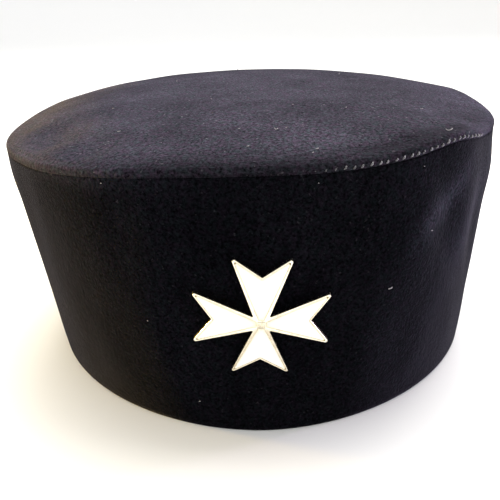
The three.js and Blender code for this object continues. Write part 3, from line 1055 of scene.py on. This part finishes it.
class CAP_OT_velvet_top(bpy.types.Operator):
    """Build the domed velvet top with its turned edge and its puckers"""
    bl_idname = "cap.velvet_top"
    bl_label = "Velvet Top"

    def execute(self, context):
        velvet, trim = settings().velvet, settings().trim
        dome = velvet.dome / MM
        amount = 0.7 * velvet.ripple / MM
        ripple = ripple_of(trim.seed + 1, (-0.22, 0.22), (0.05, 0.24), False)
        turn = np.linspace(0, 2 * math.pi, velvet.top_columns, endpoint=False)
        _, pitch = stitch_count(trim.stitch_pitch / MM)
        pinch = 0.5 + 0.5 * np.cos(arc_length(turn) * 2 * math.pi / pitch)
        in_front = bump(turn_between(-88, turn) / 40)
        rows, painted_shades = [], []

        def relief(turn_, reach, x, y):
            near = 0.5 * pinch * smooth(reach, 0.965, 0.995)
            return dent_depth(turn_, reach, FINE_DENTS) + amount * ripple(x, y) + near

        def add(slot, reach, inset, above, fine=None):
            rows.append((slot, tip_points(turn, reach, dome, inset, above, fine)))
            # Painted shade along the front edge of the top and in its puckers
            painted_front_shade = 0.85 * in_front * smooth(reach, 0.86, 1.02)
            painted_shades.append(painted_front_shade + dent_depth(turn, reach, PAINTED_PUCKER_SHADE))

        pile, cloth = 0, 1
        outer, inner = -TURNED_PROUD, TURNED_WALL - TURNED_PROUD
        for reach in (0.02, 0.2, 0.4, 0.6, 0.8, 0.92, 1):
            add(cloth, reach, inner, TURNED_HEIGHT - TIP_WALL)
        foot = -0.12
        add(cloth, 1, inner, foot)
        add(pile, 1, 0.35, foot)
        for share in np.linspace(0, 0.95, 9):
            height = foot + share * (TURNED_HEIGHT - SHOULDER - foot)
            tuck = (outer - 0.12) * math.sin(0.5 * math.pi * share) ** 0.7
            add(pile, 1, tuck + STITCH_PULL * pinch * math.sin(math.pi * share) + 0.12, height)
        for angle in range(0, 90, 11):
            lean = math.radians(angle)
            height = TURNED_HEIGHT - SHOULDER * (1 - math.sin(lean))
            add(pile, 1, outer + SHOULDER * (1 - math.cos(lean)), height)
        for reach in np.concatenate([np.linspace(0.98, 0.8, 25), np.linspace(0.77, 0.02, 26)]):
            add(pile, reach, 0, TURNED_HEIGHT, relief)
        points, faces, slots = loft(rows, velvet.top_columns, False)
        all_round = np.arctan2(points[:, 1], points[:, 0] - CROWN["shift"])
        heights = points[:, 2] - BAND_HEIGHT - edge_lift(all_round)
        # Painted shade on the edge that turns down to the seam, less where the stitches are lit and at the
        # left, joined with the painted shade of the front edge and the puckers; the mesh carries it as the
        # value named turned
        at_left = bump(turn_between(-135, all_round) / 30)
        painted_edge_shade = (1 - smooth(heights, 0.2, TURNED_HEIGHT + 0.6)) * (1 - 0.85 * worn_and_lit(all_round))
        painted_edge_shade *= 1 - 0.4 * at_left
        ringed = len(rows) * len(turn)
        painted_edge_shade[:ringed] = np.maximum(painted_edge_shade[:ringed], np.concatenate(painted_shades))
        make_object("velvet_top", in_place(points), faces,
                    [velvet_material(velvet, "top"), inside_cloth(velvet)],
                    ("tip",), slots, {"turned": painted_edge_shade})
        return {"FINISHED"}


class CAP_OT_whip_stitches(bpy.types.Operator):
    """Sew the turned edge of the top down with small slanting stitches"""
    bl_idname = "cap.whip_stitches"
    bl_label = "Whip Stitches"

    def execute(self, context):
        trim = settings().trim
        dome = settings().velvet.dome / MM
        draw = random.Random(trim.seed + 2)
        count, pitch = stitch_count(trim.stitch_pitch / MM)
        fine = np.linspace(0, 2 * math.pi, 3600, endpoint=False)
        starts = np.interp(np.arange(count) * pitch, arc_length(fine), fine)
        parts, bareness = [], []
        for start in starts:
            start += math.radians(draw.uniform(*STITCH["shift"]))
            slant = math.radians(draw.uniform(*STITCH["slant"]))
            # The thread is painted light where the pile is worn off the stitches, as if lit there
            bare_and_lit = float(worn_and_lit(start)) * draw.uniform(*STITCH["bareness"])
            proud = -STITCH["sunk"] + STITCH["rise"] * smooth(bare_and_lit, 0.0, 0.4)
            low, tall = draw.uniform(*STITCH["foot"]), draw.uniform(*STITCH["height"])
            path = []
            for step in range(STITCH["steps"] + 1):
                share = step / STITCH["steps"]
                dip = STITCH["dip"] * (2 * share - 1) ** 2
                inset = -TURNED_PROUD - proud * math.sin(math.pi * share) + dip
                turn = np.array([start + slant * share])
                path.append(tip_points(turn, 1, dome, inset, low + tall * share)[0])
            radius = trim.thread_radius / MM * draw.uniform(*STITCH["thickness"])
            parts.append(tube(path, radius, STITCH["sides"], STITCH["taper"]))
            bareness.append(bare_and_lit)
        points, faces, counts = gather(parts)
        make_object("whip_stitches", in_place(points), faces, [thread_material(trim.thread_colour)],
                    (), None, {"bareness": np.repeat(bareness, counts)})
        return {"FINISHED"}


class CAP_OT_lint(bpy.types.Operator):
    """Scatter the few fibres of lint that cling to the pile"""
    bl_idname = "cap.lint"
    bl_label = "Lint"

    def execute(self, context):
        trim = settings().trim
        dome = settings().velvet.dome / MM
        draw = random.Random(trim.seed + 3)
        spots = [(tip_points(np.radians([bearing]), reach, dome, 0, TURNED_HEIGHT + 0.15)[0], size, curl)
                 for bearing, reach, size, curl in TOP_LINT]
        spots += [(side_points(np.radians([bearing]), height / BAND_HEIGHT, -0.2)[0], size, curl)
                  for bearing, height, size, curl in SIDE_LINT]
        parts = []
        for spot, size, curl in spots:
            way = Matrix.Rotation(draw.uniform(*LINT["turn"]), 3, "Z")
            way = way @ Matrix.Rotation(draw.uniform(*LINT["tilt"]), 3, "X")
            path = []
            for step in range(LINT["steps"] + 1):
                angle = curl * (step / LINT["steps"] - 0.5)
                bend = (math.sin(angle) / curl, (1 - math.cos(angle)) / curl, 0.06 * math.sin(3 * angle))
                path.append(Vector(spot) + way @ Vector(bend) * 2 * size)
            radius = LINT["radius"] + LINT["growth"] * size
            parts.append(tube(path, radius, LINT["sides"], LINT["taper"]))
        points, faces, _ = gather(parts)
        make_object("lint_fibres", in_place(points), faces, [lint_material(trim.lint_colour)])
        return {"FINISHED"}


class CAP_OT_gilt_cross(bpy.types.Operator):
    """Build the gilt body of the cross with its softened edges, its recesses, its collar and its post"""
    bl_idname = "cap.gilt_cross"
    bl_label = "Gilt Cross"

    def execute(self, context):
        cross = settings().cross
        reach, front = cross.reach / MM, cross.thickness / MM
        corners, radii = cross_corners(reach)

        def whole(inset):
            return rounded(corners, radii, inset)

        rings = [(whole(BACK_SOFTENING), 0.0), (whole(0.0), BACK_SOFTENING)]
        for angle in (0, 22, 45, 67, 90):
            lean = math.radians(angle)
            height = front - EDGE_SOFTENING * (1 - math.sin(lean))
            rings.append((whole(EDGE_SOFTENING * (1 - math.cos(lean))), height))
        recess, lip = recess_corners(reach), RECESS_LIP
        holes = []
        parts = [walls(rings)]
        for quarter in range(4):
            def cut(inset):
                return quarter_turned(rounded(recess, RECESS_CORNERS, inset), quarter)
            holes.append(cut(-lip))
            steps = ((-lip, 0), (-0.3 * lip, 0.3 * lip), (0, lip), (0, RECESS))
            parts.append(walls([(cut(inset), front - depth) for inset, depth in steps]))
            parts.append(cap_face(cut(0), front - RECESS, True))
        necks = [index * ROUNDING_STEPS + ROUNDING_STEPS // 2 for index in range(3, 16, 4)]
        diagonals = [((0, True), (neck, False)) for neck in necks]
        parts.append(cap_face(rings[-1][0], front, True, holes, [Vector((0, 0))], diagonals))
        parts.append(cap_face(rings[0][0], 0.0, False, (), [Vector((0, 0))], diagonals))
        points, faces, _ = gather(parts)
        points = bent(points, cross.bend)
        standing = stand_off(cross)
        post_end = -(standing + WALL + NUT["clearance"] + NUT["thickness"] + POST_BEYOND_NUT)
        foot = GAP + COLLAR_RADIUS * math.sin(cross.lean) - standing
        wide = BOSS["half_width"] * math.sqrt(2)
        boss = [(wide, front / 2), (wide, front + 0.05), (0.85 * wide, front + 0.12),
                (0.08, front + BOSS["height"])]
        collar = disc(COLLAR_RADIUS, foot, front / 2, 48)
        post = disc(POST_RADIUS, post_end, front / 2, 32, 0.25)
        rounds = [collar, post, turned(boss, 4, math.pi / 4)]
        points, faces, _ = gather([(points, faces)] + rounds)
        # The boss is painted greyer and darker than the gilt: tarnish, and painted shade at the middle of
        # the cross
        boss_tarnished_and_shaded = [0] * (len(faces) - len(rounds[-1][1])) + [1] * len(rounds[-1][1])
        gilt = metal_material("gilt_wear", cross.gilt_colour, GILT_TARNISH, 0.5)
        boss_metal = metal_material("boss_wear", BOSS_COLOUR, BOSS_TARNISH_AND_SHADE, 0.8)
        made = make_object("gilt_cross", placed(points, cross_frame(cross)), faces, [gilt, boss_metal],
                           ("badge_cross",), boss_tarnished_and_shaded)
        welded(made)
        return {"FINISHED"}


class CAP_OT_enamel_arms(bpy.types.Operator):
    """Fill the four recesses with softly domed white enamel"""
    bl_idname = "cap.enamel_arms"
    bl_label = "Enamel Arms"

    def execute(self, context):
        cross = settings().cross
        front = cross.thickness / MM
        rise = cross.enamel_rise / MM
        corners = recess_corners(cross.reach / MM)
        glaze = enamel_material(cross.enamel_colour)
        place = cross_frame(cross)
        loop, inner = (rounded(corners, ENAMEL_CORNERS, inset) for inset in (0.03, 0.2))
        xs = np.arange(min(p.x for p in loop), max(p.x for p in loop), ENAMEL_SPACING)
        ys = np.arange(min(p.y for p in loop), max(p.y for p in loop), ENAMEL_SPACING)
        grid = [Vector((x, y)) for x in xs for y in ys]
        apart = 0.4 * ENAMEL_SPACING
        grid = [p for p in grid if inside(p, inner) and distance_inside(p, inner) > apart]
        flat, faces = filled(loop, (), list(inner) + grid)
        deep = [distance_inside(p, loop) for p in flat]
        brim, floor = front - 0.1, front - RECESS + 0.05
        top = [Vector((p.x, p.y, brim + (rise + 0.1) * (1 - math.exp(-d / 0.35))))
               for p, d in zip(flat, deep)]
        thin = [math.exp(-d / 0.7) + 0.6 * max(0.0, 1 - (p.y - ENAMEL_FOOT["out"]) / 5.5)
                for p, d in zip(flat, deep)]
        sides = walls([(loop, floor), (loop, brim)])
        points, faces, _ = gather([(top, faces), sides, cap_face(loop, floor, False)])
        edge = np.ones(len(points))
        edge[:len(top)] = np.clip(thin, 0, 1)
        for quarter, side in enumerate(("top", "left", "bottom", "right")):
            arm = bent(quarter_turned(points, quarter), cross.bend)
            made = make_object(f"enamel_{side}", placed(arm, place), faces, [glaze],
                               (f"enamel_arm_{side}",), None, {"edge": edge})
            welded(made)
        return {"FINISHED"}


class CAP_OT_round_nut(bpy.types.Operator):
    """Turn the knurled round nut that holds the cross from the inside"""
    bl_idname = "cap.round_nut"
    bl_label = "Round Nut"

    def execute(self, context):
        cross = settings().cross
        top = -stand_off(cross) - WALL - NUT["clearance"]
        bore = POST_RADIUS + GAP
        radius, thickness, soft = NUT["radius"], NUT["thickness"], NUT["rounding"]
        core = radius - soft
        rounds = [(math.sin(math.radians(a)), math.cos(math.radians(a))) for a in (0, 30, 60, 90)]
        profile = [(bore, 0.2), (bore + 0.2, 0)]
        profile += [(core + soft * sine, soft - soft * cosine) for sine, cosine in rounds]
        profile += [(core + soft * cosine, thickness - soft + soft * sine) for sine, cosine in rounds]
        profile += [(bore + 0.2, thickness), (bore, thickness - 0.2)]
        sides = NUT["knurls"] * 6
        points = []
        for r, z in profile:
            deep = NUT["knurl"] * float(smooth(r, core, radius))
            for side in range(sides):
                angle = 2 * math.pi * side / sides
                out = r - deep * max(0.0, math.cos(angle * NUT["knurls"]))
                points.append(Vector((out * math.cos(angle), out * math.sin(angle), z + top - thickness)))
        brass = metal_material("nut_wear", cross.nut_colour, NUT_TARNISH, 0.9)
        make_object("round_nut", placed(points, cross_frame(cross)),
                    ring_faces(len(profile), sides, closed_rows=True), [brass], ("badge_nut",))
        return {"FINISHED"}


def area_light(name, power, size, place, target, colour):
    data = bpy.data.lights.new(name, "AREA")
    data.energy, data.size, data.color = power, size, colour
    made = bpy.data.objects.new(name, data)
    made.location = place
    made.rotation_euler = (Vector(target) - Vector(place)).to_track_quat("-Z", "Y").to_euler()
    bpy.context.scene.collection.objects.link(made)


class CAP_OT_studio(bpy.types.Operator):
    """Set the pale floor, the soft lights and the camera"""
    bl_idname = "cap.studio"
    bl_label = "Studio"

    def execute(self, context):
        studio = settings().studio
        scene = context.scene
        half, back, curve = 2.5, 1.6, 0.8
        profile = [(-half, 0.0), (back, 0.0)]
        profile += [(back + curve * math.sin(math.radians(a)), curve * (1 - math.cos(math.radians(a))))
                    for a in range(10, 91, 10)]
        profile.append((back + curve, 3.0))
        points = [(x, y, z) for y, z in profile for x in (-half, half)]
        mesh = bpy.data.meshes.new("floor")
        strips = range(0, 2 * len(profile) - 2, 2)
        mesh.from_pydata(points, [], [(i, i + 1, i + 3, i + 2) for i in strips])
        mesh.polygons.foreach_set("use_smooth", [True] * len(mesh.polygons))
        mesh.materials.append(floor_material(studio.floor_colour))
        floor = bpy.data.objects.new("floor", mesh)
        scene.collection.objects.link(floor)
        world = bpy.data.worlds.new("studio_air")
        world.use_nodes = True
        air = world.node_tree.nodes["Background"].inputs
        air["Color"].default_value = WHITE
        air["Strength"].default_value = studio.sky_strength
        scene.world = world
        middle, low = (0.0, 0.0, 0.06), (0.0, 0.0, 0.04)
        area_light("key_light", studio.key_power, 0.9, (0.1, 0.3, 1.0), middle, (1.0, 0.99, 0.92))
        area_light("fill_light", studio.fill_power, 0.7, (0.1, -0.9, 0.55), middle, (1.0, 0.93, 0.72))
        area_light("warm_light", studio.warm_power, 0.055, (-0.45, 0.07, 0.03), low, (1.0, 0.7, 0.16))
        area_light("cool_light", studio.cool_power, 0.06, (0.45, 0.08, 0.035), low, (0.86, 0.72, 1.0))
        scene.view_settings.view_transform = "Standard"
        self.set_camera(scene)
        return {"FINISHED"}

    def set_camera(self, scene):
        tilt = math.radians(CAMERA["elevation"])
        pivot = Vector((0, 0, CAMERA["pivot_height"]))
        spot = pivot + Vector((0, -math.cos(tilt), math.sin(tilt))) * CAMERA["distance"]
        ahead = (Vector(CAMERA_TARGET) - spot).normalized()
        right = ahead.cross(Vector((0, 0, 1))).normalized()
        up = right.cross(ahead)
        roll = math.radians(CAMERA["roll"])
        across = right * math.cos(roll) + up * math.sin(roll)
        upright = up * math.cos(roll) - right * math.sin(roll)
        place = Matrix((across, upright, -ahead)).transposed().to_4x4()
        place.translation = (spot - MIDDLE) * MM
        data = bpy.data.cameras.new("camera")
        data.lens = CAMERA["lens"]
        data.sensor_width = 36.0
        data.clip_start = 0.01
        camera = bpy.data.objects.new("camera", data)
        camera.matrix_world = place
        scene.collection.objects.link(camera)
        scene.camera = camera


class CapSettings(bpy.types.PropertyGroup):
    velvet: PointerProperty(type=VelvetSettings, name="Velvet", description="The side and the top")
    cross: PointerProperty(type=CrossSettings, name="Cross", description="The enamelled cross")
    trim: PointerProperty(type=TrimSettings, name="Trim", description="Stitches and lint")
    studio: PointerProperty(type=StudioSettings, name="Studio", description="Floor and lights")


OPERATORS = (
    CAP_OT_velvet_side, CAP_OT_velvet_top, CAP_OT_whip_stitches, CAP_OT_lint, CAP_OT_gilt_cross,
    CAP_OT_enamel_arms, CAP_OT_round_nut, CAP_OT_studio,
)


class CAP_PT_pieces(bpy.types.Panel):
    """The pieces of the cap and their settings"""
    bl_idname = "CAP_PT_pieces"
    bl_label = "Pillbox Cap"
    bl_space_type = "VIEW_3D"
    bl_region_type = "UI"
    bl_category = "Cap"

    def draw(self, context):
        for group in ("velvet", "cross", "trim", "studio"):
            values = getattr(context.scene.cap_settings, group)
            box = self.layout.box()
            for name in values.bl_rna.properties.keys():
                if name not in ("rna_type", "name"):
                    box.prop(values, name)
        for operator in OPERATORS:
            self.layout.operator(operator.bl_idname)


CLASSES = (
    VelvetSettings, CrossSettings, TrimSettings, StudioSettings, CapSettings, *OPERATORS, CAP_PT_pieces,
)


def register():
    for cls in CLASSES:
        bpy.utils.register_class(cls)
    bpy.types.Scene.cap_settings = PointerProperty(type=CapSettings)


def unregister():
    del bpy.types.Scene.cap_settings
    for cls in reversed(CLASSES):
        bpy.utils.unregister_class(cls)


def main():
    register()
    bpy.ops.cap.velvet_side()
    bpy.ops.cap.velvet_top()
    bpy.ops.cap.whip_stitches()
    bpy.ops.cap.lint()
    bpy.ops.cap.gilt_cross()
    bpy.ops.cap.enamel_arms()
    bpy.ops.cap.round_nut()
    bpy.ops.cap.studio()
    bpy.context.view_layer.update()


if __name__ == "__main__":
    main()
